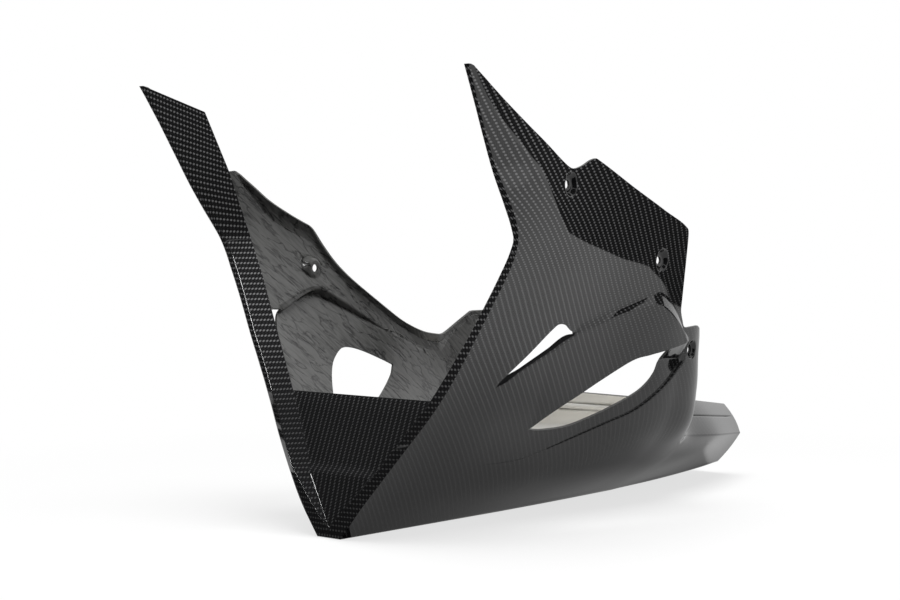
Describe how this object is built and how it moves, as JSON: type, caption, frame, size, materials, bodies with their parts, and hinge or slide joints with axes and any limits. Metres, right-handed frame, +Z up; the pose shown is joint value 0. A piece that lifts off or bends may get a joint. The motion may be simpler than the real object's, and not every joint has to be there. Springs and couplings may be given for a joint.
{
  "type": "motorcycle belly pan",
  "caption": "Moulded carbon-fibre belly pan for a motorcycle, with raised front arms, a folded front collar, gill vents in the side panels, dimpled screw holes and a narrow boat tail.",
  "frame": {"origin": "middle of the pan's outer box, on the level of the keel's lowest line", "axes": "+X towards the front wheel, +Y towards the rider's left, +Z up, as the pan hangs under the engine"},
  "size_m": [0.5459, 0.34, 0.341],
  "materials": {
    "laminate": "twill carbon-fibre laminate under clear gloss coat outside, bare resin inside"
  },
  "bodies": {
    "root": {"belly_pan": "laminate"}
  },
  "joints": []
}
